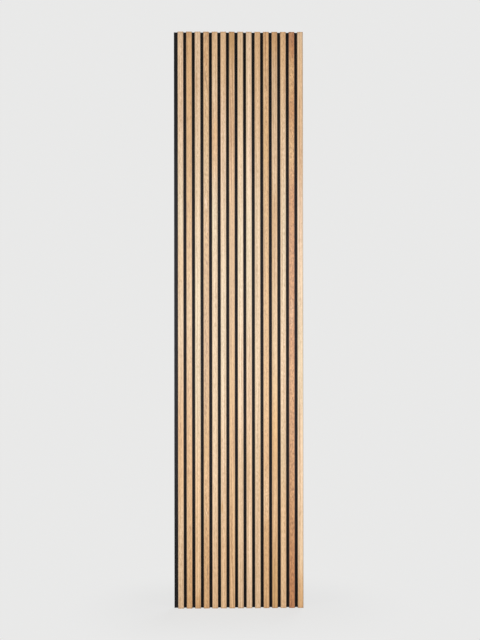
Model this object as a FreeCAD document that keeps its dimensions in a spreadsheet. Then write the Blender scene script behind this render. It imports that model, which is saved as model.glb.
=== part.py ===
"""Acoustic slat wall panel: veneered slats stapled side by side to a thick felt board.

Millimetres. +X runs to the right and +Z up as one faces the panel on its wall, and +Y
goes into the wall. The origin is the middle of the felt's back face, which lies against
the wall. The slats face -Y.
"""

import FreeCAD
import Part

import enum
import math
import os

import Sketcher

# The driving dimensions. Every other size and place is worked out from these.
SIZES = {
    "panel_length": 2700,  # height of the panel on the wall, felt and slats alike
    "felt_thickness": 9,
    "lip_width": 18,  # bare felt left of the first slat, which the next panel butts against
    "slat_count": 15,
    "slat_width": 27,  # over the veneer
    "slat_depth": 12,  # from the felt to the veneered front
    "slat_gap": 13,  # bare felt between two slats
    "veneer_thickness": 0.6,
    "core_corner_radius": 0.5,  # eased front corners of the core, which the veneer is folded round
    "staples_per_slat": 6,
    "staple_end_distance": 60,  # from the slat's end to the middle of its first staple
    "staple_crown": 12.8,  # over both legs
    "staple_wire_thickness": 0.65,  # of the flat wire, as seen facing the staple's arch
    "staple_wire_width": 0.95,
    "staple_sink": 0.4,  # how far the crown is driven below the felt's back face
    "staple_bite": 7,  # how far the legs reach into the core
    "staple_bevel": 0.9,  # length of the slanting cut at each leg's tip
}

# Sizes and places that several pieces share, worked out from the sheet.
PITCH = "(Sizes.slat_width + Sizes.slat_gap)"
PANEL_WIDTH = f"(Sizes.lip_width + Sizes.slat_count * {PITCH} - Sizes.slat_gap)"
FIRST_SLAT_X = f"(Sizes.lip_width + Sizes.slat_width / 2 - {PANEL_WIDTH} / 2)"
CORE_SECTION = {
    "width": "Sizes.slat_width - 2 * Sizes.veneer_thickness",
    "depth": "Sizes.slat_depth - Sizes.veneer_thickness",
    "radius": "Sizes.core_corner_radius",
}
SLAT_SECTION = {
    "width": "Sizes.slat_width",
    "depth": "Sizes.slat_depth",
    "radius": "Sizes.core_corner_radius + Sizes.veneer_thickness",
}
FIRST_STAPLE_Z = "(Sizes.staple_end_distance - Sizes.panel_length / 2)"
STAPLE_PITCH = f"(-2 * {FIRST_STAPLE_Z} / (Sizes.staples_per_slat - 1))"
CROWN_UNDERSIDE = "-(Sizes.staple_sink + Sizes.staple_wire_thickness)"
STAPLE_TIP = "-(Sizes.felt_thickness + Sizes.staple_bite)"


class Sketch(enum.IntEnum):
    """How a sketch numbers the two ends of a line or an arc, and its own axes."""

    START = 1
    END = 2
    LEVEL_AXIS = -1
    UPRIGHT_AXIS = -2


START, END, LEVEL_AXIS, UPRIGHT_AXIS = Sketch
SKETCH_ORIGIN = (LEVEL_AXIS, START)


def make_sheet(doc):
    """Writes the driving dimensions into the document's spreadsheet."""
    sheet = doc.addObject("Spreadsheet::Sheet", "Sizes")
    for row, (name, size) in enumerate(SIZES.items(), start=1):
        sheet.set(f"A{row}", str(size))
        sheet.setAlias(f"A{row}", name)
    doc.recompute()


def value(sketch, expression):
    """What an expression on the sheet comes to now, for drawing near the final place."""
    return float(sketch.evalExpression(expression))


def new_body(doc, label):
    body = doc.addObject("PartDesign::Body", label)
    body.Label = label
    return body


def origin_feature(body, role):
    return next(feature for feature in body.Origin.OriginFeatures if feature.Role == role)


def new_sketch(body, name, plane):
    sketch = body.newObject("Sketcher::SketchObject", name)
    sketch.AttachmentSupport = [(origin_feature(body, plane), "")]
    sketch.MapMode = "FlatFace"
    return sketch


def line(start, end):
    return Part.LineSegment(FreeCAD.Vector(*start, 0), FreeCAD.Vector(*end, 0))


def arc(centre, radius, first_angle, last_angle):
    circle = Part.Circle(FreeCAD.Vector(*centre, 0), FreeCAD.Vector(0, 0, 1), radius)
    return Part.ArcOfCircle(circle, first_angle, last_angle)


def draw_outline(sketch, elements):
    """Draws an outline's lines and arcs in order, joined end to start, and smoothly at an arc."""
    ids = [sketch.addGeometry(element, False) for element in elements]
    is_arc = [isinstance(element, Part.ArcOfCircle) for element in elements]
    for here, element in enumerate(ids):
        following = (here + 1) % len(ids)
        joint = "Tangent" if is_arc[here] or is_arc[following] else "Coincident"
        sketch.addConstraint(Sketcher.Constraint(joint, element, END, ids[following], START))
    return ids


def keep(sketch, direction, *elements):
    """Keeps lines level or upright."""
    for element in elements:
        sketch.addConstraint(Sketcher.Constraint(direction, element))


def dimension(sketch, kind, name, expression, *ends):
    """Adds a named dimension to a sketch and binds it to the sheet."""
    index = sketch.addConstraint(Sketcher.Constraint(kind, *ends, value(sketch, expression)))
    sketch.renameConstraint(index, name)
    sketch.setExpression(f"Constraints.{name}", expression)


def draw_rectangle(sketch, width, height):
    """A rectangle centred on the sketch's origin."""
    x, y = value(sketch, width) / 2, value(sketch, height) / 2
    corners = [(-x, -y), (x, -y), (x, y), (-x, y)]
    sides = [line(a, b) for a, b in zip(corners, corners[1:] + corners[:1])]
    foot, right, head, left = draw_outline(sketch, sides)
    keep(sketch, "Horizontal", foot, head)
    keep(sketch, "Vertical", left, right)
    sketch.addConstraint(Sketcher.Constraint("Symmetric", foot, START, head, START, *SKETCH_ORIGIN))
    dimension(sketch, "DistanceX", "width", width, foot, START, foot, END)
    dimension(sketch, "DistanceY", "height", height, right, START, right, END)


def draw_slat_section(sketch, width, depth, radius):
    """A slat cut across: its back on the sketch's X axis, and two eased front corners."""
    half, front, r = value(sketch, width) / 2, -value(sketch, depth), value(sketch, radius)
    shoulder = front + r
    left, left_corner, face, right_corner, right, back = draw_outline(
        sketch,
        [
            line((-half, 0), (-half, shoulder)),
            arc((r - half, shoulder), r, math.pi, 1.5 * math.pi),
            line((r - half, front), (half - r, front)),
            arc((half - r, shoulder), r, 1.5 * math.pi, 2 * math.pi),
            line((half, shoulder), (half, 0)),
            line((half, 0), (-half, 0)),
        ],
    )
    keep(sketch, "Horizontal", face, back)
    keep(sketch, "Vertical", left, right)
    sketch.addConstraint(Sketcher.Constraint("Symmetric", back, START, back, END, *SKETCH_ORIGIN))
    sketch.addConstraint(Sketcher.Constraint("Equal", left_corner, right_corner))
    dimension(sketch, "DistanceX", "width", width, back, END, back, START)
    dimension(sketch, "DistanceY", "depth", depth, face, START, back, END)
    dimension(sketch, "Radius", "corner", radius, left_corner)


def draw_staple(sketch, crown_top):
    """A staple driven down the sketch from its X axis, the felt's back face.

    crown_top is the height of the crown's upper side. Above the axis it opens a groove
    that the sunk crown leaves behind it.
    """
    outer = value(sketch, "Sizes.staple_crown") / 2
    inner = outer - value(sketch, "Sizes.staple_wire_thickness")
    top, underside = value(sketch, crown_top), value(sketch, CROWN_UNDERSIDE)
    tip = value(sketch, STAPLE_TIP)
    bevel_end = tip + value(sketch, "Sizes.staple_bevel")
    left_half = [(-outer, top), (-outer, tip), (-inner, bevel_end), (-inner, underside)]
    corners = left_half + [(-x, y) for x, y in reversed(left_half)]
    sides = [line(a, b) for a, b in zip(corners, corners[1:] + corners[:1])]
    ids = draw_outline(sketch, sides)
    left_outer, left_bevel, left_inner, arch, right_inner, right_bevel, right_outer, crown = ids
    keep(sketch, "Vertical", left_outer, left_inner, right_inner, right_outer)
    for across in (arch, crown):
        sketch.addConstraint(
            Sketcher.Constraint("Symmetric", across, START, across, END, UPRIGHT_AXIS)
        )
    for left_end, right_end in ((START, END), (END, START)):
        sketch.addConstraint(
            Sketcher.Constraint("Horizontal", left_bevel, left_end, right_bevel, right_end)
        )
    wire, bevel = "Sizes.staple_wire_thickness", "Sizes.staple_bevel"
    dimension(sketch, "DistanceX", "crown", "Sizes.staple_crown", crown, END, crown, START)
    dimension(sketch, "DistanceX", "wire", wire, left_bevel, START, left_bevel, END)
    dimension(sketch, "DistanceY", "bevel", bevel, left_bevel, START, left_bevel, END)
    dimension(sketch, "DistanceY", "top", crown_top, *SKETCH_ORIGIN, crown, START)
    dimension(sketch, "DistanceY", "underside", CROWN_UNDERSIDE, *SKETCH_ORIGIN, arch, START)
    dimension(sketch, "DistanceY", "tip", STAPLE_TIP, *SKETCH_ORIGIN, left_bevel, START)


def sketch_first_staple(body, x, felt_back_y, crown_top):
    """Draws the lowest staple of the slat at x, where the felt's back face is at felt_back_y."""
    sketch = new_sketch(body, "staple_outline", "XY_Plane")
    sketch.setExpression("AttachmentOffset.Base.x", x)
    sketch.setExpression("AttachmentOffset.Base.y", felt_back_y)
    sketch.setExpression("AttachmentOffset.Base.z", FIRST_STAPLE_Z)
    draw_staple(sketch, crown_top)
    return sketch


def add_feature(body, kind, sketch, length, side_type="Symmetric"):
    """Pads or pockets a sketch, as far on one side of it as on the other unless told."""
    feature = body.newObject(f"PartDesign::{kind}", f"{sketch.Name}_{kind}")
    feature.Profile = sketch
    feature.SideType = side_type
    feature.setExpression("Length", length)
    return feature


def repeat(body, feature, *directions):
    """Repeats a feature along one axis or two, each given with its spacing and its number."""
    pattern = body.newObject("PartDesign::LinearPattern", f"{feature.Name}_row")
    pattern.Originals = [feature]
    for way, (axis, spacing, number) in zip(("", "2"), directions):
        setattr(pattern, f"Direction{way}", (origin_feature(body, axis), [""]))
        setattr(pattern, f"Mode{way}", "Spacing")
        setattr(pattern, f"Occurrences{way}", 2)
        setattr(pattern, f"Spacings{way}", [-1.0])  # -1: the copy takes the common spacing
        pattern.setExpression(f"Offset{way}", spacing)
        pattern.setExpression(f"Occurrences{way}", number)
    body.Tip = pattern


ACROSS_THE_SLATS = ("X_Axis", PITCH, "Sizes.slat_count")
ALONG_THE_SLAT = ("Z_Axis", STAPLE_PITCH, "Sizes.staples_per_slat")


def make_felt_backing(doc):
    """The felt board, with each staple's groove in its back and leg holes right through."""
    body = new_body(doc, "felt_backing")
    board = new_sketch(body, "board_outline", "XZ_Plane")
    draw_rectangle(board, PANEL_WIDTH, "Sizes.panel_length")
    add_feature(body, "Pad", board, "Sizes.felt_thickness", "One side")
    staple = sketch_first_staple(body, FIRST_SLAT_X, "0", "Sizes.staple_sink")
    hole = add_feature(body, "Pocket", staple, "Sizes.staple_wire_width")
    repeat(body, hole, ACROSS_THE_SLATS, ALONG_THE_SLAT)
    return body


def make_staples(doc):
    """All the staples, driven in from the felt's back, as separate solids."""
    body = new_body(doc, "staples")
    body.AllowCompound = True
    staple = sketch_first_staple(body, FIRST_SLAT_X, "0", "-Sizes.staple_sink")
    wire = add_feature(body, "Pad", staple, "Sizes.staple_wire_width")
    repeat(body, wire, ACROSS_THE_SLATS, ALONG_THE_SLAT)
    return body


def place_on_felt(body, number):
    """Puts a slat's piece in its place in the row, its back on the felt's front."""
    body.setExpression("Placement.Base.x", f"{FIRST_SLAT_X} + {number - 1} * {PITCH}")
    body.setExpression("Placement.Base.y", "-Sizes.felt_thickness")


def make_slat_core(doc, number):
    """A slat's fibreboard core, with the blind holes that the staples' legs make in its back."""
    body = new_body(doc, f"slat_core_{number:02}")
    place_on_felt(body, number)
    section = new_sketch(body, "core_section", "XY_Plane")
    draw_slat_section(section, **CORE_SECTION)
    add_feature(body, "Pad", section, "Sizes.panel_length")
    staple = sketch_first_staple(body, "0", "Sizes.felt_thickness", "-Sizes.staple_sink")
    hole = add_feature(body, "Pocket", staple, "Sizes.staple_wire_width")
    repeat(body, hole, ALONG_THE_SLAT)
    return body


def make_slat_veneer(doc, number):
    """A slat's veneer, one strip folded round the core's front and sides down to the felt."""
    body = new_body(doc, f"slat_veneer_{number:02}")
    place_on_felt(body, number)
    outside = new_sketch(body, "slat_section", "XY_Plane")
    draw_slat_section(outside, **SLAT_SECTION)
    add_feature(body, "Pad", outside, "Sizes.panel_length")
    inside = new_sketch(body, "core_section", "XY_Plane")
    draw_slat_section(inside, **CORE_SECTION)
    add_feature(body, "Pocket", inside, "Sizes.panel_length")
    return body


def check(doc, bodies):
    """Stops where the document has a failed object or a piece without a sound shape."""
    failed = [item.Label for item in doc.Objects if {"Invalid", "Error"} & set(item.State)]
    unsound = [body.Label for body in bodies if body.Shape.isNull() or not body.Shape.isValid()]
    if failed or unsound:
        raise RuntimeError(f"failed: {failed}, without a sound shape: {unsound}")


def main():
    doc = FreeCAD.newDocument("acoustic_slat_panel")
    make_sheet(doc)
    bodies = [make_felt_backing(doc), make_staples(doc)]
    for number in range(1, SIZES["slat_count"] + 1):
        bodies += [make_slat_core(doc, number), make_slat_veneer(doc, number)]
    doc.recompute()
    check(doc, bodies)
    os.makedirs("parts", exist_ok=True)
    for body in bodies:
        shape = body.Shape
        print(f"{body.Label}: {len(shape.Solids)} solid(s), {shape.Volume:.1f} mm3")
        shape.exportStep(f"parts/{body.Label}.step")


main()
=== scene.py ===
"""Acoustic slat wall panel: the finishes of its slats and staples, its felt board and the studio.

Metres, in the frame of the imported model: +X to the right, +Z up, the slats facing -Y, and
the origin in the middle of the felt's back face.
"""

import math
import typing

import bpy
from bpy.props import FloatProperty, FloatVectorProperty, IntProperty, PointerProperty
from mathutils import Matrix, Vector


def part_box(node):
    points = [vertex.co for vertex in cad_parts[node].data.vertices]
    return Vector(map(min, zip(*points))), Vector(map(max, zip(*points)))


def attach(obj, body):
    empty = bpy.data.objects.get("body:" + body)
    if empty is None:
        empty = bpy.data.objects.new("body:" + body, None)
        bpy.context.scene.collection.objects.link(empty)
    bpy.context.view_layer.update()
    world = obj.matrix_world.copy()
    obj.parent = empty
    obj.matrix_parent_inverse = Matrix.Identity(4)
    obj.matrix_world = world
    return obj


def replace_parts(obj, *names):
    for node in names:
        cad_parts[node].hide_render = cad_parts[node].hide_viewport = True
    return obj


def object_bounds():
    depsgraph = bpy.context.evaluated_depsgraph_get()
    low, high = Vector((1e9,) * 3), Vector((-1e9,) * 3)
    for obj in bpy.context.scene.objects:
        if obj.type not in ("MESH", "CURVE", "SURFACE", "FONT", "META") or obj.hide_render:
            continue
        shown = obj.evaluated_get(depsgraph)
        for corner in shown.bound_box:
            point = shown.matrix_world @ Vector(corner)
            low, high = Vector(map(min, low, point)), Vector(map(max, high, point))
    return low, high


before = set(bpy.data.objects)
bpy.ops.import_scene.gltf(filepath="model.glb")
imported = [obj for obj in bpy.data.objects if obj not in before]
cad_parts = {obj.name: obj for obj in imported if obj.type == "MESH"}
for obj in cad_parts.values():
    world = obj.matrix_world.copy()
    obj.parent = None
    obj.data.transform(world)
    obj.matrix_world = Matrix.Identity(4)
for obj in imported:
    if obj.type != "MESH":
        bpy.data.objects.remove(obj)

bl_info = {
    "name": "Acoustic slat panel",
    "version": (1, 0, 0),
    "blender": (4, 5, 0),
    "location": "View3D > Sidebar > Slat panel",
    "description": "Finishes, felt board and studio of an oak acoustic slat panel",
    "category": "Add Mesh",
}

MM = 0.001
CAD_LOW, CAD_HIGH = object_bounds()
PANEL_HEIGHT = CAD_HIGH.z - CAD_LOW.z
VENEERS = sorted(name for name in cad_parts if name.startswith("slat_veneer_"))
CORES = sorted(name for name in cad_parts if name.startswith("slat_core_"))

# The slats stand side by side. Their places come from the boxes of their veneers.
SLAT_BOXES = [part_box(name) for name in VENEERS]
SLAT_CENTRES = [(low.x + high.x) / 2 for low, high in SLAT_BOXES]
SLAT_HALF = (SLAT_BOXES[0][1].x - SLAT_BOXES[0][0].x) / 2
SLAT_FRONT = SLAT_BOXES[0][0].y
SLAT_DEPTH = SLAT_BOXES[0][1].y - SLAT_FRONT
FELT_LOW, FELT_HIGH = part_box("felt_backing")
FELT_FRONT = SLAT_BOXES[0][1].y

# The staples lie across the slats' middles in level rows, sunk a little into the felt's back.
STAPLE_ROWS = 6
CROWN_LENGTH, CROWN_HEIGHT = 12.8 * MM, 0.95 * MM
CROWN_UNDERSIDE = -1.05 * MM

# How near two places are that count as the same
NEAR = 0.01 * MM

# The directions in which the felt's fibres lie, in degrees from level
FIBRE_DEGREES = (12, 57, 103, 151)

# The places of the sockets of a Mix node that mixes colours
MIX_FACTOR, MIX_FIRST, MIX_SECOND, MIX_RESULT = 0, 6, 7, 2

# How dark a growth ring is, from its early wood at 0 to the end of its late wood at 1
LATE_WOOD = ((0.0, 0.25), (0.15, 0.0), (0.6, 0.2), (0.9, 1.0), (1.0, 0.25))

# The height round which the arches of flat-sawn wood lie, and how far from it they fade and end
ARCH_HEIGHT, ARCH_FADE, ARCH_END = 0.2, 0.125, 0.3


def opaque(colour):
    """A colour with its fourth value."""
    return (*colour, 1.0)


class Signal:
    """An output socket of a material. Arithmetic on it adds the Math nodes that do the sum."""

    def __init__(self, finish, socket):
        self.finish = finish
        self.socket = socket

    def other(self, name):
        """Another output of the same node."""
        return Signal(self.finish, self.socket.node.outputs[name])

    def __add__(self, other):
        return self.finish.maths("ADD", self, other)

    def __sub__(self, other):
        return self.finish.maths("SUBTRACT", self, other)

    def __rsub__(self, other):
        return self.finish.maths("SUBTRACT", other, self)

    def __mul__(self, other):
        return self.finish.maths("MULTIPLY", self, other)

    def __truediv__(self, other):
        return self.finish.maths("DIVIDE", self, other)

    def __pow__(self, other):
        return self.finish.maths("POWER", self, other)

    def __abs__(self):
        return self.finish.maths("ABSOLUTE", self)

    __radd__ = __add__
    __rmul__ = __mul__

    def between(self, low, high):
        """0 up to low, 1 from high on, and a smooth rise from one to the other."""
        sockets = {"Value": self, "From Min": low, "From Max": high}
        return self.finish.node("ShaderNodeMapRange", {"interpolation_type": "SMOOTHSTEP"}, sockets)


class Finish:
    """The nodes of one material or of the world, added one by one."""

    def __init__(self, owner):
        self.owner = owner
        owner.use_nodes = True
        self.tree = owner.node_tree
        self.tree.nodes.clear()

    def node(self, kind, settings=None, sockets=None, output=0):
        """Add a node: first its settings, then the values or links of its sockets."""
        made = self.tree.nodes.new(kind)
        for name, value in (settings or {}).items():
            if name == "stops":
                set_stops(made.color_ramp, value)
            else:
                setattr(made, name, value)
        for name, value in (sockets or {}).items():
            if isinstance(value, Signal):
                self.tree.links.new(value.socket, made.inputs[name])
            else:
                made.inputs[name].default_value = value
        return Signal(self, made.outputs[output] if len(made.outputs) else None)

    def maths(self, operation, *values):
        """One Math node on signals and numbers."""
        return self.node("ShaderNodeMath", {"operation": operation}, dict(enumerate(values)))

    def mix(self, factor, first, second, blend="MIX"):
        """Two colours, or colour signals, mixed."""
        first, second = (colour if isinstance(colour, Signal) else opaque(colour)
                         for colour in (first, second))
        sockets = {MIX_FACTOR: factor, MIX_FIRST: first, MIX_SECOND: second}
        settings = {"data_type": "RGBA", "blend_type": blend}
        return self.node("ShaderNodeMix", settings, sockets, MIX_RESULT)

    def ramp(self, signal, stops):
        """A signal turned into the colours of a smooth ramp."""
        return self.node("ShaderNodeValToRGB", {"stops": stops}, {"Fac": signal})

    def noise(self, x, y, z=0.0, detail=2.0, roughness=0.5):
        """Cloudy noise of about 0 to 1, a unit of the coordinates to a cell."""
        point = self.node("ShaderNodeCombineXYZ", {}, {0: x, 1: y, 2: z})
        sockets = {"Vector": point, "Scale": 1.0, "Detail": detail, "Roughness": roughness}
        return self.node("ShaderNodeTexNoise", {"noise_dimensions": "3D"}, sockets)

    def drift(self, along, seed):
        """A line that wanders about 0 as its coordinate grows."""
        sockets = {"W": along + seed, "Scale": 1.0, "Detail": 1.0}
        return self.node("ShaderNodeTexNoise", {"noise_dimensions": "1D"}, sockets) - 0.5

    def place(self, centre=(0.0, 0.0, 0.0)):
        """The object's own coordinates, measured from a centre: x, y and z."""
        point = self.node("ShaderNodeTexCoord", output="Object")
        sockets = {"Vector": point, "Location": [-value for value in centre]}
        moved = self.node("ShaderNodeMapping", {"vector_type": "POINT"}, sockets)
        x = self.node("ShaderNodeSeparateXYZ", {}, {0: moved})
        return x, x.other("Y"), x.other("Z")

    def surface(self, sockets, height, depth):
        """Close the material with a Principled surface and the relief of its bump."""
        relief = self.node("ShaderNodeBump", {}, {"Height": height, "Distance": depth})
        values = {**sockets, "Normal": relief}
        shader = self.node("ShaderNodeBsdfPrincipled", {}, values)
        self.node("ShaderNodeOutputMaterial", {}, {"Surface": shader})
        return self.owner


def set_stops(ramp, stops):
    """Give a colour ramp its stops of place and colour, with a smooth curve between them."""
    ramp.interpolation = "EASE"
    while len(ramp.elements) < len(stops):
        ramp.elements.new(1.0)
    for element, (place, colour) in zip(ramp.elements, sorted(stops)):
        element.position = place
        element.color = opaque(colour)


def new_finish(name):
    """The finish of a new material."""
    return Finish(bpy.data.materials.new(name))


class Patch(typing.NamedTuple):
    """A soft-edged part of a slat in another tone.

    Its place and half its width are in millimetres across, and its height and half its height
    in metres. Its slant is how far it leans to the right, in millimetres for each metre down.
    """

    tone: str
    across: float
    half_width: float
    height: float
    half_height: float
    strength: float = 0.8
    slant: float = 0.0


class Leaf(typing.NamedTuple):
    """How the veneer of one slat looks.

    Its tones are given where the wood visibly changes, by height in metres, from the head to the
    foot. The pitch of its growth rings is in millimetres, and the rest is how strong they and
    the parts of its figure are. Arch bends the rings into the arches of flat-sawn wood.
    """

    tones: tuple
    patches: tuple = ()
    ring_pitch: float = 2.6
    rings: float = 0.35
    streaks: float = 1.0
    curls: float = 1.0
    flecks: float = 0.15
    mottle: float = 0.0
    arch: float = 0.0


# The slats from left to right. Each tone is a colour of the settings below.
LEAVES = (
    Leaf(((0.95, "cream"), (0.5, "ash"), (0.25, "olive"), (0.0, "oat"), (-0.5, "tan"),
          (-0.75, "honey"), (-1.0, "pale")),
         (Patch("amber", -6, 5, -0.55, 0.2, 0.6), Patch("rose", 5, 5, 0.95, 0.25, 0.5))),
    Leaf(((1.1, "tan"), (0.5, "brown"), (0.0, "olive"), (-0.45, "tan"), (-0.95, "honey"),
          (-1.33, "tan")),
         (Patch("honey", 8, 3, 0.1, 0.5, 0.3), Patch("umber", -2, 2, 0.9, 0.3, 0.3)),
         ring_pitch=2.1, rings=0.4, streaks=0.45, curls=1.4),
    Leaf(((1.1, "cream"), (0.55, "oat"), (0.1, "ash"), (-0.3, "ash"), (-0.85, "straw"),
          (-1.25, "straw"), (-1.33, "tan")),
         (Patch("honey", -12, 5, -1.1, 0.3), Patch("copper", -8, 5, 1.11, 0.05, 0.3)),
         rings=0.25),
    Leaf(((1.2, "honey"), (0.75, "olive"), (0.2, "brown"), (-0.55, "brown"), (-0.8, "honey"),
          (-1.1, "tan")),
         (Patch("umber", -3, 6, 1.315, 0.02, 0.5),
          Patch("copper", -2, 5, 1.23, 0.05, 0.5, slant=90),
          Patch("umber", -1, 4, 1.125, 0.07, 0.85, slant=150),
          Patch("cream", 1, 3, 1.04, 0.05, 0.7, slant=120),
          Patch("rose", -2, 6, 0.55, 0.04, 0.7, slant=90),
          Patch("brown", -2, 6, 0.49, 0.03, 0.9, slant=150),
          Patch("cream", 2, 3, 0.43, 0.03, 0.6, slant=150),
          Patch("umber", 4, 3, 0.38, 0.02, 0.45, slant=200),
          Patch("umber", 0, 12, -0.1, 0.6, 0.3),
          Patch("umber", 3, 3, 0.27, 0.015, 0.6, slant=300),
          Patch("umber", 3, 2, 0.18, 0.02, 0.6, slant=150),
          Patch("cream", 0, 3, -0.9, 0.03, 0.7, slant=300),
          Patch("umber", 4, 1.5, -1.02, 0.07, 0.6),
          Patch("umber", 4, 3, -1.17, 0.03, 0.9),
          Patch("umber", 5, 3, -1.25, 0.05, 0.4)),
         ring_pitch=3.4, rings=0.6, curls=2.4, mottle=0.15, arch=1.0),
    Leaf(((1.3, "straw"), (1.1, "pale"), (0.8, "honey"), (0.5, "ash"), (0.2, "oat"), (-0.4, "oat"),
          (-0.8, "pale"), (-1.3, "straw")),
         (Patch("amber", 2, 7, 0.88, 0.06, 0.5),), ring_pitch=2.2),
    Leaf(((1.2, "straw"), (0.9, "cream"), (0.4, "oat"), (0.0, "ash"), (-0.85, "pale"),
          (-1.1, "straw")),
         (Patch("tan", -12, 3, 0.7, 0.6, 0.6), Patch("honey", -11, 5, -0.6, 0.16, 0.6),
          Patch("amber", -7, 5, -0.88, 0.04, 0.8)),
         rings=0.3),
    Leaf(((1.33, "brown"), (1.1, "straw"), (0.8, "honey"), (0.3, "brown"), (-0.3, "brown"),
          (-0.9, "honey")),
         (Patch("umber", 0, 12, 0.27, 0.4, 0.3), Patch("amber", -4, 5, -0.45, 0.3, 0.3)),
         ring_pitch=2.0, rings=0.5, streaks=1.9, curls=1.1, mottle=0.15),
    Leaf(((1.05, "buff"), (0.8, "pale"), (0.35, "ash"), (-0.3, "pale"), (-0.7, "buff"),
          (-1.05, "pale")),
         (Patch("cream", 12, 3, 0.2, 1.0, 0.7), Patch("honey", -9, 4, -0.35, 0.2, 0.4)),
         rings=0.25, curls=0.8),
    Leaf(((1.1, "cream"), (0.8, "rose"), (0.35, "ash"), (-0.65, "straw"), (-1.15, "cream")),
         rings=0.22, curls=0.8),
    Leaf(((1.3, "honey"), (1.0, "straw"), (0.5, "oat"), (-0.4, "oat"), (-1.2, "pale")),
         (Patch("amber", 8, 5, -0.75, 0.25, 0.4),),
         ring_pitch=2.0, rings=0.45, curls=1.1),
    Leaf(((1.3, "tan"), (1.1, "honey"), (0.8, "brown"), (0.0, "brown"), (-0.65, "tan"),
          (-0.85, "straw"), (-1.0, "tan")),
         (Patch("amber", -3, 5, 0.55, 0.07, 0.4), Patch("umber", 4, 6, 1.12, 0.08, 0.3)),
         ring_pitch=2.2, rings=0.4, streaks=1.9, flecks=0.5, mottle=0.6),
    Leaf(((1.33, "tan"), (1.15, "buff"), (0.85, "buff"), (0.45, "brown"), (-0.1, "olive"),
          (-0.55, "amber"), (-0.85, "honey"), (-1.3, "brown")),
         (Patch("pale", 6, 5, 0.1, 0.5, 0.5), Patch("pale", 0, 9, 0.66, 0.08, 0.7)),
         ring_pitch=2.4, rings=0.5, curls=0.8),
    Leaf(((1.3, "honey"), (0.85, "pale"), (0.4, "ash"), (-0.3, "pale"), (-0.65, "oat"),
          (-0.9, "straw")),
         (Patch("honey", -7, 5, 0.6, 0.7, 0.5),),
         rings=0.3, curls=1.4),
    Leaf(((1.33, "russet"), (1.15, "tan"), (0.98, "copper"), (0.8, "tan"), (0.55, "salmon"),
          (0.0, "salmon"), (-0.85, "copper"), (-1.33, "russet")),
         (Patch("umber", 0, 14, 1.33, 0.07, 0.25), Patch("rose", 0, 9, 0.03, 0.1, 0.25),
          Patch("tan", 0, 14, -0.28, 0.15, 0.25), Patch("umber", 0, 14, -0.75, 0.45, 0.22)),
         ring_pitch=2.0, rings=0.45, streaks=1.9, curls=4.0, flecks=1.2, mottle=2.8),
    Leaf(((1.33, "pale"), (1.2, "straw"), (0.8, "straw"), (0.5, "rose"), (-0.2, "ash"),
          (-0.7, "cream"), (-1.1, "pale"), (-1.3, "tan")),
         (Patch("cream", 6, 5, 0.2, 1.1, 0.6),),
         rings=0.25, curls=0.75),
)


def tone(name, description, default):
    """A colour property with its name, description and default."""
    return FloatVectorProperty(name=name, description=description, subtype="COLOR",
                               size=3, min=0.0, max=1.0, default=default)


def length(name, description, default):
    """A length property in metres."""
    return FloatProperty(name=name, description=description, unit="LENGTH", precision=5,
                         default=default)


def fraction(name, description, default):
    """A property from 0 to 1."""
    return FloatProperty(name=name, description=description, subtype="FACTOR", min=0.0, max=1.0,
                         default=default)


def power(name, description, default):
    """A lamp's power in watts."""
    return FloatProperty(name=name, description=description, unit="POWER", default=default)


class VeneerSettings(bpy.types.PropertyGroup):
    """The tones and figure of the oak veneers."""

    cream: tone("Cream", "The palest sapwood", (0.845, 0.614, 0.392))
    pale: tone("Pale", "Pale straight-grained oak", (0.793, 0.562, 0.339))
    ash: tone("Ash", "Pale oak with a grey cast", (0.7, 0.541, 0.329))
    oat: tone("Oat", "Even, slightly yellow oak", (0.69, 0.489, 0.276))
    straw: tone("Straw", "Warm pale oak", (0.772, 0.51, 0.276))
    honey: tone("Honey", "Warm middle tone", (0.731, 0.458, 0.223))
    rose: tone("Rose", "Pale oak with a pink cast", (0.82, 0.59, 0.39))
    buff: tone("Buff", "Pale oak between pink and grey", (0.725, 0.497, 0.283))
    olive: tone("Olive", "Middle tone with a green cast", (0.659, 0.437, 0.212))
    amber: tone("Amber", "Orange middle tone", (0.69, 0.395, 0.138))
    tan: tone("Tan", "Darker middle tone", (0.67, 0.395, 0.17))
    brown: tone("Brown", "Dark tone", (0.608, 0.354, 0.127))
    umber: tone("Umber", "Dark figure", (0.412, 0.239, 0.117))
    copper: tone("Copper", "Red tone", (0.567, 0.27, 0.095))
    salmon: tone("Salmon", "Pink heartwood", (0.525, 0.229, 0.069))
    russet: tone("Russet", "Red-brown heartwood", (0.474, 0.187, 0.053))
    grain: tone("Grain", "What the dark lines of the grain multiply the wood's colour by",
                (0.56, 0.43, 0.31))
    fleck: tone("Fleck", "How much a ray fleck brightens the wood's colour", (0.3, 0.34, 0.38))
    # The fold colour is painted shade along the slats' folded edges, placed by the fold reach and fade.
    fold_shade: tone("Fold", "What a fold multiplies the wood's colour by", (0.3, 0.24, 0.19))
    fold_reach: length("Fold reach", "How far in from a slat's edge the dark of its fold ends", 3 * MM)
    fold_fade: length("Fold fade", "Over what width the dark of a fold fades out", 1.3 * MM)
    # A painted highlight: this far in from a slat's edge the figure is weakened, so the leaf is paler.
    highlight_reach: length("Worn reach", "How far in from a slat's edge it is worn plain", 6 * MM)
    cut_reach: length("Cut reach", "How far in from its cut ends a leaf is darkest", 9 * MM)
    # Painted shade: the leaf is a little darker this far in from its ends.
    end_reach: length("End reach", "How far in from its ends a leaf is a little darker", 70 * MM)
    pore_depth: length("Pore depth", "How deep the open pores are", 0.08 * MM)
    roughness: fraction("Wood roughness", "Roughness of the wood itself", 0.45)
    lacquer: fraction("Lacquer roughness", "Roughness of the satin lacquer", 0.32)


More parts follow.
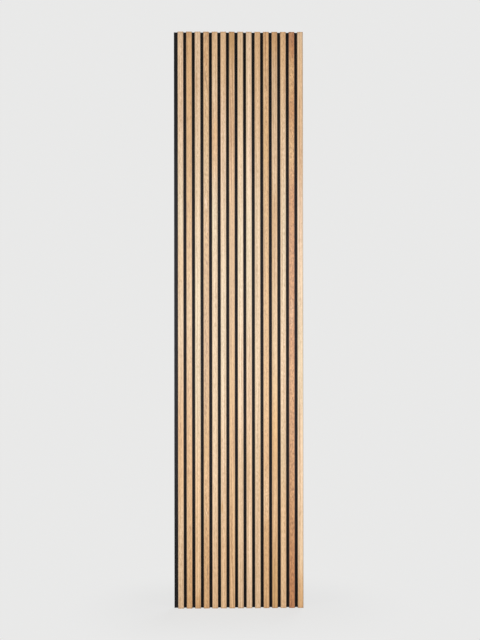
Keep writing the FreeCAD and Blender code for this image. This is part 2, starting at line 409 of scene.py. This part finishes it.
class CoreSettings(bpy.types.PropertyGroup):
    """The fibreboard inside the slats."""

    middle: tone("Middle", "Colour of the board's soft middle", (0.42, 0.29, 0.17))
    skin: tone("Skin", "Colour of the board's pressed faces", (0.27, 0.17, 0.095))
    speck: tone("Speck", "Colour of the specks of bark", (0.1, 0.06, 0.035))
    relief: length("Relief", "How rough the sawn ends are", 0.12 * MM)


class StapleSettings(bpy.types.PropertyGroup):
    """The galvanised staples."""

    zinc: tone("Zinc", "Colour of the bright wire", (0.66, 0.66, 0.64))
    dull: tone("Dull zinc", "Colour of the zinc where it has dulled", (0.38, 0.38, 0.37))
    relief: length("Relief", "How deep the drawing lines of the wire are", 0.02 * MM)


class FeltSettings(bpy.types.PropertyGroup):
    """The needled felt board."""

    dark: tone("Dark fibre", "Colour of most fibres", (0.017, 0.0165, 0.019))
    light: tone("Light fibre", "Colour of the fibres on top", (0.085, 0.082, 0.095))
    # Painted shade: the colour the felt is darkened to in its needle marks and towards the front's
    # ends.
    painted_shade_black: tone("Black fibre", "Colour that the front's fibres darken to at the board's ends",
                (0.0015, 0.0015, 0.0017))
    relief: length("Relief", "How uneven the felt's faces are", 0.35 * MM)
    nap: length("Nap", "How high the fibres and how deep the needle marks are", 0.5 * MM)
    edge: length("Edge", "How far the cut edges are rounded", 0.8 * MM)
    spacing: length("Spacing", "Distance between the cuts up the board", 12 * MM)
    dimple: length("Dimple", "How far a staple pulls the felt in around it", 2 * MM)
    margin_across: length("Margin across", "From a dimple to the cuts at its ends", 0.1 * MM)
    margin_up: length("Margin up", "From a dimple to the cuts above and below it", 0.525 * MM)
    lumps: length("Lumps", "Size of the unevenness of the felt's faces", 11 * MM)
    gap_cuts: IntProperty(name="Cuts in a gap", description="Lengthwise cuts between two slats",
                          min=1, max=8, default=3)
    edge_segments: IntProperty(name="Edge segments", description="Faces across a rounded edge",
                               min=1, max=6, default=3)


class StudioSettings(bpy.types.PropertyGroup):
    """The camera, the lamps, the floor and the background."""

    background: tone("Background", "What the camera sees behind the panel", (0.815, 0.815, 0.811))
    floor: tone("Floor", "Colour of the floor", (0.8, 0.8, 0.8))
    floor_radius: length("Floor radius", "How far the floor reaches", 30.0)
    floor_drop: length("Floor drop", "How far the floor is under the panel", 0.5 * MM)
    shadow: fraction("Shadow", "How strongly the panel's shadow shows", 0.15)
    shadow_fade: length("Shadow fade", "How far from the panel its shadow starts to fade", 0.05)
    shadow_end: length("Shadow end", "How far from the panel its shadow has faded out", 0.55)
    lens: FloatProperty(name="Lens", description="Focal length", unit="CAMERA", default=50.0)
    camera_place: FloatVectorProperty(name="Camera place", description="Where the camera stands",
                                      subtype="TRANSLATION", default=(-0.058, -4.183, 0.0))
    camera_turn: FloatProperty(name="Camera turn", description="Turn about the upright axis",
                               subtype="ANGLE", default=math.radians(-0.886))
    camera_roll: FloatProperty(name="Camera roll", description="Roll about the line of sight",
                               subtype="ANGLE", default=math.radians(0.066))
    key_power: power("Key power", "Power of the tall lamp in front", 50.0)
    upper_power: power("Upper power", "Power of each small lamp above", 8.0)
    lower_power: power("Lower power", "Power of each small lamp below", 9.6)
    back_power: power("Back power", "Power of the lamp behind", 70.0)
    ambient: FloatProperty(name="Ambient", description="Strength of the light from all around",
                           default=0.28)


class Lamp(typing.NamedTuple):
    """A soft rectangular lamp: which power of the settings it has, its place and its size."""

    name: str
    power: str
    place: tuple
    width: float
    height: float


LAMPS = (
    Lamp("key_lamp", "key_power", (-0.1, -3.1, 0.12), 1.2, 2.3),
    Lamp("upper_lamp", "upper_power", (-1.6, -1.2, 1.6), 0.6, 0.6),
    Lamp("lower_lamp", "lower_power", (-1.6, -1.2, -1.1), 0.6, 0.6),
    Lamp("upper_lamp", "upper_power", (1.6, -1.2, 1.6), 0.6, 0.6),
    Lamp("lower_lamp", "lower_power", (1.6, -1.2, -1.1), 0.6, 0.6),
    Lamp("back_lamp", "back_power", (1.5, 3.0, 1.4), 2.0, 2.0),
)


def deselect_all():
    if bpy.context.object and bpy.context.object.mode != "OBJECT":
        bpy.ops.object.mode_set(mode="OBJECT")
    bpy.ops.object.select_all(action="DESELECT")


def pick(part, mesh, wanted):
    """Select the vertices, edges or faces of a mesh, in object mode, for which wanted is true."""
    for kind in ("vertices", "edges", "polygons"):
        for item in getattr(mesh, kind):
            item.select = kind == part and wanted(item)


def apply_modifier(piece, kind, **settings):
    """Add a modifier, set it up and apply it."""
    modifier = piece.modifiers.new(kind.title(), kind)
    for name, value in settings.items():
        setattr(modifier, name, value)
    bpy.ops.object.modifier_apply(modifier=modifier.name)


def dress(names, finish_of):
    """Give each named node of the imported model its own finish."""
    for number, name in enumerate(names):
        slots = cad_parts[name].data.materials
        material = finish_of(number)
        if not slots:
            slots.append(material)
        for place in range(len(slots)):
            slots[place] = material


def staple_heights():
    """The heights of the rows of staples."""
    low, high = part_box("staples")
    first, last = low.z + CROWN_HEIGHT / 2, high.z - CROWN_HEIGHT / 2
    return [first + (last - first) * row / (STAPLE_ROWS - 1) for row in range(STAPLE_ROWS)]


def leaf_colour(finish, leaf, flat, up, ragged, settings):
    """The wood's colour: its tones by height, and the patches of other tones on them."""
    foot = -PANEL_HEIGHT / 2
    stops = [((height - foot) / PANEL_HEIGHT, getattr(settings, name)) for height, name in leaf.tones]
    colour = finish.ramp((up - foot) / PANEL_HEIGHT + (ragged - 0.5) * 0.06, stops)
    for patch in leaf.patches:
        rise = up - patch.height
        aside = (flat + rise * (patch.slant * MM) - patch.across * MM) / (patch.half_width * MM)
        away = rise / patch.half_height
        reach = (aside * aside + away * away) ** 0.5 + (ragged - 0.5) * 0.9
        inside = 1 - reach.between(0.35, 1.15)
        colour = finish.mix(inside * patch.strength, colour, getattr(settings, patch.tone))
    return colour


def growth_rings(finish, leaf, grain, flat, up, seed):
    """How far a point is into its ring's dark late wood, and the lines that this draws."""
    ring = grain / (leaf.ring_pitch * MM)
    if leaf.arch:
        arched = 1 - abs(up - ARCH_HEIGHT).between(ARCH_FADE, ARCH_END)
        ring = ring * (1 - arched * 0.8) + (flat * flat * 21000 + up * 24) * arched * leaf.arch
    ring = ring + (finish.noise(grain * 90, up * 5, seed + 4) - 0.5) * 2.5
    late = finish.ramp(finish.maths("FRACT", ring), [(place, (dark,) * 3) for place, dark in LATE_WOOD])
    fading = finish.noise(grain * 60, up * 2.2, seed + 6, 3).between(0.35, 0.65)
    return late, (late * (0.25 + fading) - 0.27) * leaf.rings


def oak_veneer(number, settings):
    """Lacquered oak veneer, its grain running up the slat and on round its folded edges."""
    leaf = LEAVES[number]
    seed = 3.7 * (number + 1)
    finish = new_finish(f"oak_veneer_{number + 1:02d}")
    across, deep, up = finish.place((SLAT_CENTRES[number], SLAT_FRONT, 0.0))

    # The leaf laid flat: the sides continue the front past its folds.
    flat = across + finish.maths("SIGN", across) * deep
    sway = finish.drift(up * 1.3, seed) * 0.016 + finish.drift(up * 14, seed + 9) * 0.0016
    grain = flat + sway
    ragged = finish.noise(grain * 220, up * 9, seed, 2)
    colour = leaf_colour(finish, leaf, flat, up, ragged, settings)
    late, lines = growth_rings(finish, leaf, grain, flat, up, seed)

    # Streaks, from half the slat's breadth down to a hair's
    broad = finish.noise(grain * 130, up * 0.5, seed + 11, 1).between(0.36, 0.64)
    middle = finish.noise(grain * 240, up * 1.5, seed + 12, 2).between(0.36, 0.64)
    narrow = finish.noise(grain * 520, up * 3.2, seed + 13, 3)
    thread = finish.noise(grain * 1300, up * 11, seed + 15, 2).between(0.36, 0.64)
    hair = finish.noise(grain * 2300, up * 22, seed + 17, 2)
    streak = (broad - 0.5) * 0.34 + (middle - 0.5) * 0.55 + (narrow - 0.5) * 1.1 + (hair - 0.5) * 0.3

    # Curls, and mottling of short dashes in clusters. Both are strongest along the dark threads.
    curl = finish.noise(flat * 380 + up * 16, up * 58, seed + 19, 3) - 0.5
    dash = finish.noise(grain * 700, up * 75, seed + 22, 1).between(0.42, 0.62)
    cluster = finish.noise(grain * 210 + up * 20, up * 60, seed + 21, 2).between(0.34, 0.66)
    mottle = dash * cluster * 2 - 0.5
    figure = (curl * leaf.curls * 1.8 + mottle * leaf.mottle) * (0.3 + thread * 1.4)

    # Ray flecks, brighter than the wood, and open pores, most of them in the late wood
    ray = finish.noise(flat * 430 + up * 60, up * 95, seed + 23, 2).between(0.52, 0.72)
    pore = finish.noise(grain * 3600, up * 190, seed + 29, 1).between(0.6, 0.7) * (0.35 + late * 0.65)

    # Painted shade darkens the leaf where it folds, and a painted highlight leaves it plain beside its
    # folds; it is darker at its cut ends, and painted shade darkens it a little towards its ends.
    fold_start = SLAT_HALF - settings.fold_reach
    fold_shade = abs(across).between(fold_start, fold_start + settings.fold_fade)
    edge_highlight = abs(across).between(SLAT_HALF - settings.highlight_reach, fold_start)
    cut_end = abs(up).between(PANEL_HEIGHT / 2 - settings.cut_reach, PANEL_HEIGHT / 2)
    end_shade = abs(up).between(PANEL_HEIGHT / 2 - settings.end_reach, PANEL_HEIGHT / 2)

    shade = streak * leaf.streaks + lines * 0.6 + figure + (thread - 0.5) * 0.42 + 0.36
    # The figure is weakened beside the folds as a painted highlight.
    colour = finish.mix(shade * (1 - edge_highlight * 0.7), colour, settings.grain, "MULTIPLY")
    colour = finish.mix(ray * leaf.flecks, colour, settings.fleck, "DODGE")
    colour = finish.mix(pore * 0.8, colour, settings.grain, "MULTIPLY")
    # Painted shade along the folds
    colour = finish.mix(fold_shade * 0.9, colour, settings.fold_shade, "MULTIPLY")
    # The grain's colour also paints shade a little towards the leaf's ends; the cut ends are darker
    # too.
    colour = finish.mix(cut_end * 0.4 + end_shade * 0.12, colour, settings.grain, "MULTIPLY")

    rough = settings.roughness + (narrow - 0.5) * 0.08 + pore * 0.15 - ray * 0.05
    relief = hair * 0.25 + narrow * 0.2 - pore
    sockets = {"Base Color": colour, "Roughness": rough, "IOR": 1.5, "Coat Weight": 0.85,
               "Coat Roughness": settings.lacquer}
    return finish.surface(sockets, relief, settings.pore_depth)


def fibreboard(settings):
    """Pressed wood fibre, darker and denser towards the faces of the board."""
    finish = new_finish("fibreboard")
    across, deep, up = finish.place((0.0, SLAT_FRONT + SLAT_DEPTH / 2, 0.0))
    clump = finish.noise(across * 900, deep * 1500, up * 900, 3, 0.6)
    fibre = finish.noise(across * 3500, deep * 9000, up * 3500, 2)
    skin = (abs(deep) + (clump - 0.5) * 1.2 * MM).between(SLAT_DEPTH * 0.26, SLAT_DEPTH * 0.46)
    speck = finish.noise(across * 2600, deep * 2600, up * 2600 + 5, 1).between(0.64, 0.7)
    saw = finish.noise(across * 60 + deep * 1400, deep * 40, up * 8, 2)
    colour = finish.mix(skin, settings.middle, settings.skin)
    colour = finish.mix(fibre.between(0.35, 0.7) * 0.5, colour, settings.skin)
    colour = finish.mix(speck * 0.6, colour, settings.speck)
    relief = clump * 0.4 + fibre * 0.4 + saw * 0.4
    sockets = {"Base Color": colour, "Roughness": 0.86 - skin * 0.12}
    return finish.surface(sockets, relief, settings.relief)


def galvanised_wire(settings):
    """Flat galvanised staple wire with fine drawing lines and scuffs."""
    finish = new_finish("galvanised_wire")
    across, deep, up = finish.place()
    drawn = finish.noise(across * 500, deep * 6000, up * 9000, 2)
    bloom = finish.noise(across * 1500, deep * 1500, up * 1500, 3)
    scuff = finish.noise(across * 260, deep * 900, up * 3000, 2).between(0.52, 0.66)
    colour = finish.mix(bloom.between(0.35, 0.75), settings.zinc, settings.dull)
    colour = finish.mix(scuff * 0.4, colour, settings.zinc)
    sockets = {"Base Color": colour, "Metallic": 0.95, "Roughness": 0.3 + bloom * 0.28 - scuff * 0.1}
    return finish.surface(sockets, drawn * 0.5 + bloom * 0.5, settings.relief)


def needled_felt(settings):
    """Charcoal needled felt: fibres lying every way, some of them lighter, and needle marks darkened
    with painted shade.
    """
    finish = new_finish("needled_felt")
    x, y, z = finish.place((0.0, (FELT_LOW.y + FELT_HIGH.y) / 2, 0.0))
    clump = finish.noise(x * 160, y * 300, z * 160, 3, 0.6)
    bend = (clump - 0.5) * 3.0
    fibres = 0.0
    for degrees in FIBRE_DEGREES:
        angle = math.radians(degrees)
        along = x * (math.cos(angle) * 420) + z * (math.sin(angle) * 420) + y * 300
        beside = z * (math.cos(angle) * 5200) - x * (math.sin(angle) * 5200) + y * 3900
        strand = finish.noise(along + degrees, beside + bend * 9, y * 2600, 1)
        fibres = strand.between(0.56, 0.72) * 0.5 + fibres
    pits = 1 - finish.noise(x * 950, y * 950, z * 950, 0).between(0.26, 0.4)
    lint = finish.noise(x * 700, y * 700, z * 700 + 8, 2, 0.7).between(0.62, 0.75)
    colour = finish.mix(fibres * 0.6, settings.dark, settings.light)
    colour = finish.mix(clump.between(0.3, 0.75) * 0.35, colour, settings.dark)
    colour = finish.mix(lint * 0.35, colour, settings.light)
    # Painted shade in the needle marks
    colour = finish.mix(pits * 0.7, colour, settings.painted_shade_black)

    # Painted shade darkens the front towards its ends.
    front = 1 - y.between(-2 * MM, 2 * MM)
    end = abs(z).between(PANEL_HEIGHT * 0.1, PANEL_HEIGHT / 2) * front
    colour = finish.mix(end * 0.93, colour, settings.painted_shade_black)
    relief = fibres * 0.5 + clump * 0.5 - pits * 0.6
    sockets = {"Base Color": colour, "Roughness": 0.95, "Specular IOR Level": 0.25,
               "Sheen Weight": 0.25, "Sheen Roughness": 0.5}
    return finish.surface(sockets, relief, settings.nap)


class SLATPANEL_OT_veneers(bpy.types.Operator):
    """Dress the veneers, each in its own leaf of oak"""

    bl_idname = "slatpanel.veneers"
    bl_label = "Oak veneers"

    def execute(self, context):
        settings = context.scene.slatpanel_veneer
        dress(VENEERS, lambda number: oak_veneer(number, settings))
        return {"FINISHED"}


class SLATPANEL_OT_cores(bpy.types.Operator):
    """Dress the fibreboard cores of the slats"""

    bl_idname = "slatpanel.cores"
    bl_label = "Fibreboard cores"

    def execute(self, context):
        board = fibreboard(context.scene.slatpanel_core)
        dress(CORES, lambda number: board)
        return {"FINISHED"}


class SLATPANEL_OT_staples(bpy.types.Operator):
    """Dress the staples in galvanised wire"""

    bl_idname = "slatpanel.staples"
    bl_label = "Staples"

    def execute(self, context):
        wire = galvanised_wire(context.scene.slatpanel_staple)
        dress(["staples"], lambda number: wire)
        return {"FINISHED"}


class SLATPANEL_OT_felt(bpy.types.Operator):
    """Model the felt board, with its rounded edges, uneven faces and the dimples of the staples"""

    bl_idname = "slatpanel.felt"
    bl_label = "Felt board"

    def execute(self, context):
        settings = context.scene.slatpanel_felt
        board = self.cut_out(settings)
        self.dimple(board, settings)
        self.roughen(board, settings)
        board.data.materials.append(needled_felt(settings))
        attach(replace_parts(board, "felt_backing"), "root")
        return {"FINISHED"}

    def lengthwise_cuts(self, settings):
        """Where the board is cut up its length: beside each slat and each column of staples."""
        cell = CROWN_LENGTH / 2 + settings.dimple + settings.margin_across
        columns = [centre + side for centre in SLAT_CENTRES for side in (-cell, cell)]
        edges = [centre + side for centre in SLAT_CENTRES for side in (-SLAT_HALF, SLAT_HALF)]
        # The felt is bare left of the first slat and between slats, and ends where the last one does.
        bare = [FELT_LOW.x] + edges
        gaps = [low + (high - low) * cut / (settings.gap_cuts + 1)
                for low, high in zip(bare[0::2], bare[1::2]) for cut in range(1, settings.gap_cuts + 1)]
        return sorted(columns + edges[:-1] + gaps)

    def level_cuts(self, settings):
        """Where the board is cut across: beside each row of staples, and evenly between rows."""
        cell = CROWN_HEIGHT / 2 + settings.dimple + settings.margin_up
        rows = staple_heights()
        bounds = [FELT_LOW.z] + [row + side for row in rows for side in (-cell, cell)] + [FELT_HIGH.z]
        cuts = bounds[1:-1]
        for low, high in zip(bounds[0::2], bounds[1::2]):
            count = max(1, round((high - low) / settings.spacing))
            cuts += [low + (high - low) * cut / count for cut in range(1, count)]
        return sorted(cuts)

    def cut_out(self, settings):
        """A board of the felt's size, cut into a grid."""
        middle = (FELT_LOW + FELT_HIGH) / 2
        deselect_all()
        bpy.ops.mesh.primitive_plane_add(size=1, location=(middle.x, FELT_FRONT, middle.z),
                                         rotation=(math.pi / 2, 0, 0))
        board = bpy.context.object
        board.name = board.data.name = "felt_board"
        board.scale = (FELT_HIGH.x - FELT_LOW.x, FELT_HIGH.z - FELT_LOW.z, 1)
        bpy.ops.object.transform_apply(location=True, rotation=True, scale=True)
        bpy.ops.object.mode_set(mode="EDIT")
        for places, normal in ((self.lengthwise_cuts(settings), (1, 0, 0)),
                               (self.level_cuts(settings), (0, 0, 1))):
            for place in places:
                bpy.ops.mesh.select_all(action="SELECT")
                bpy.ops.mesh.bisect(plane_co=[place * value for value in normal], plane_no=normal)
        bpy.ops.object.mode_set(mode="OBJECT")
        apply_modifier(board, "SOLIDIFY", thickness=FELT_HIGH.y - FELT_FRONT, offset=-1)
        self.round_edges(board, settings)
        return board

    def round_edges(self, board, settings):
        """Round the board's outline, where its faces meet its cut edges."""
        mesh = board.data

        def on_outline(edge):
            first, second = (mesh.vertices[index].co for index in edge.vertices)
            along = any(abs(first[axis] - side[axis]) < NEAR and abs(second[axis] - side[axis]) < NEAR
                        for axis in (0, 2) for side in (FELT_LOW, FELT_HIGH))
            return along and abs(first.y - second.y) < NEAR

        pick("edges", mesh, on_outline)
        bpy.ops.object.mode_set(mode="EDIT")
        bpy.ops.mesh.select_mode(type="EDGE")
        bpy.ops.mesh.bevel(offset=settings.edge, segments=settings.edge_segments, affect="EDGES")
        bpy.ops.object.mode_set(mode="OBJECT")

    def dimple(self, board, settings):
        """Pull the back of the felt in under each staple's crown."""
        mesh = board.data
        rows = staple_heights()
        reach_x, reach_z = CROWN_LENGTH / 2, CROWN_HEIGHT / 2

        def under_crown(face):
            if face.normal.y < 0.9:
                return False
            middle = face.center
            return (min(abs(middle.x - centre) for centre in SLAT_CENTRES) < reach_x
                    and min(abs(middle.z - row) for row in rows) < reach_z)

        pick("polygons", mesh, under_crown)
        bpy.ops.object.mode_set(mode="EDIT")
        bpy.ops.mesh.select_mode(type="FACE")
        for share in (0.25, 0.75):
            bpy.ops.mesh.inset(use_individual=True, thickness=settings.dimple / 2,
                               depth=CROWN_UNDERSIDE * share)
        bpy.ops.object.mode_set(mode="OBJECT")

    def roughen(self, board, settings):
        """Make the bare faces uneven, and leave what lies under the slats and staples flush."""
        mesh = board.data
        loose = board.vertex_groups.new(name="loose")
        for vertex in mesh.vertices:
            under = min(abs(vertex.co.x - centre) for centre in SLAT_CENTRES) < SLAT_HALF + NEAR
            front = vertex.co.y < FELT_FRONT + NEAR
            sunk = CROWN_UNDERSIDE - NEAR < vertex.co.y < -NEAR
            if not (under and front) and not sunk:
                loose.add([vertex.index], 1.0, "REPLACE")
        clouds = bpy.data.textures.new("felt_lumps", "CLOUDS")
        clouds.noise_scale = settings.lumps
        clouds.noise_depth = 2
        apply_modifier(board, "DISPLACE", texture=clouds, texture_coords="LOCAL", mid_level=1.0,
                       strength=settings.relief, vertex_group=loose.name)
        board.vertex_groups.clear()
        deselect_all()
        board.select_set(True)
        bpy.context.view_layer.objects.active = board
        bpy.ops.object.shade_smooth_by_angle(angle=math.radians(40))


class SLATPANEL_OT_studio(bpy.types.Operator):
    """Set up the floor, the lamps, the background and the camera"""

    bl_idname = "slatpanel.studio"
    bl_label = "Studio"

    def execute(self, context):
        settings = context.scene.slatpanel_studio
        context.scene.view_settings.view_transform = "Standard"
        self.lay_floor(settings)
        self.light_world(context, settings)
        for lamp in LAMPS:
            self.hang_lamp(context, lamp, getattr(settings, lamp.power))
        self.set_camera(context, settings)
        return {"FINISHED"}

    def seen(self, finish):
        """1 for what the camera sees, straight or in a reflection, and 0 for what lights."""
        camera = finish.node("ShaderNodeLightPath", output="Is Camera Ray")
        glossy, through = camera.other("Is Glossy Ray"), camera.other("Is Transmission Ray")
        return finish.maths("MAXIMUM", finish.maths("MAXIMUM", camera, glossy), through)

    def lay_floor(self, settings):
        """A wide pale floor just under the panel, on which its shadow shows near it."""
        deselect_all()
        bpy.ops.mesh.primitive_circle_add(vertices=96, radius=settings.floor_radius, fill_type="NGON",
                                          location=(0, 0, CAD_LOW.z - settings.floor_drop))
        floor = bpy.context.object
        floor.name = "studio_floor"
        bpy.ops.object.transform_apply(location=True, rotation=True, scale=True)
        finish = new_finish("pale_floor")
        x, y = finish.place()[:2]
        beside = finish.maths("MAXIMUM", abs(x) - CAD_HIGH.x, 0.0)
        away = (beside * beside + y * y) ** 0.5
        near = 1 - away.between(settings.shadow_fade, settings.shadow_end)
        paint = finish.node("ShaderNodeBsdfDiffuse", {}, {"Color": opaque(settings.floor)})
        glow = finish.node("ShaderNodeEmission", {}, {"Color": opaque(settings.background)})
        view = finish.node("ShaderNodeMixShader", {}, {0: near * settings.shadow, 1: glow, 2: paint})
        whole = finish.node("ShaderNodeMixShader", {}, {0: self.seen(finish), 1: paint, 2: view})
        finish.node("ShaderNodeOutputMaterial", {}, {"Surface": whole})
        floor.data.materials.append(finish.owner)

    def light_world(self, context, settings):
        """Light from all around, and the plain background that the camera sees instead of it."""
        world = bpy.data.worlds.new("studio")
        context.scene.world = world
        finish = Finish(world)
        light = finish.node("ShaderNodeBackground", {},
                            {"Color": opaque((1, 1, 1)), "Strength": settings.ambient})
        back = finish.node("ShaderNodeBackground", {},
                           {"Color": opaque(settings.background), "Strength": 1.0})
        both = finish.node("ShaderNodeMixShader", {}, {0: self.seen(finish), 1: light, 2: back})
        finish.node("ShaderNodeOutputWorld", {}, {"Surface": both})

    def hang_lamp(self, context, lamp, power):
        """Hang a lamp so that it faces the middle of the panel, out of the camera's sight."""
        light = bpy.data.lights.new(lamp.name, "AREA")
        light.shape = "RECTANGLE"
        light.size, light.size_y = lamp.width, lamp.height
        light.energy = power
        holder = bpy.data.objects.new(lamp.name, light)
        context.scene.collection.objects.link(holder)
        holder.location = lamp.place
        holder.visible_camera = False
        target = (CAD_LOW + CAD_HIGH) / 2
        holder.rotation_euler = (target - holder.location).to_track_quat("-Z", "Y").to_euler()

    def set_camera(self, context, settings):
        """Set the camera up straight in front of the panel, turned as the settings say."""
        camera = bpy.data.cameras.new("camera")
        camera.lens = settings.lens
        holder = bpy.data.objects.new("camera", camera)
        context.scene.collection.objects.link(holder)
        holder.location = settings.camera_place
        holder.rotation_euler = (math.pi / 2, settings.camera_roll, settings.camera_turn)
        context.scene.camera = holder


class SLATPANEL_PT_panel(bpy.types.Panel):
    """The steps of the slat panel, in order"""

    bl_idname = "SLATPANEL_PT_panel"
    bl_label = "Slat panel"
    bl_space_type = "VIEW_3D"
    bl_region_type = "UI"
    bl_category = "Slat panel"

    def draw(self, context):
        for group in SETTINGS:
            for name in SETTINGS[group].__annotations__:
                self.layout.prop(getattr(context.scene, group), name)
        for step in STEPS:
            self.layout.operator(step.bl_idname)


SETTINGS = {
    "slatpanel_veneer": VeneerSettings,
    "slatpanel_core": CoreSettings,
    "slatpanel_staple": StapleSettings,
    "slatpanel_felt": FeltSettings,
    "slatpanel_studio": StudioSettings,
}
STEPS = (
    SLATPANEL_OT_veneers,
    SLATPANEL_OT_cores,
    SLATPANEL_OT_staples,
    SLATPANEL_OT_felt,
    SLATPANEL_OT_studio,
)


def register():
    for name, group in SETTINGS.items():
        bpy.utils.register_class(group)
        setattr(bpy.types.Scene, name, PointerProperty(type=group))
    for step in STEPS:
        bpy.utils.register_class(step)
    bpy.utils.register_class(SLATPANEL_PT_panel)


def unregister():
    bpy.utils.unregister_class(SLATPANEL_PT_panel)
    for step in reversed(STEPS):
        bpy.utils.unregister_class(step)
    for name, group in SETTINGS.items():
        delattr(bpy.types.Scene, name)
        bpy.utils.unregister_class(group)


def main():
    register()
    bpy.ops.slatpanel.veneers()
    bpy.ops.slatpanel.cores()
    bpy.ops.slatpanel.staples()
    bpy.ops.slatpanel.felt()
    bpy.ops.slatpanel.studio()


if __name__ == "__main__":
    main()
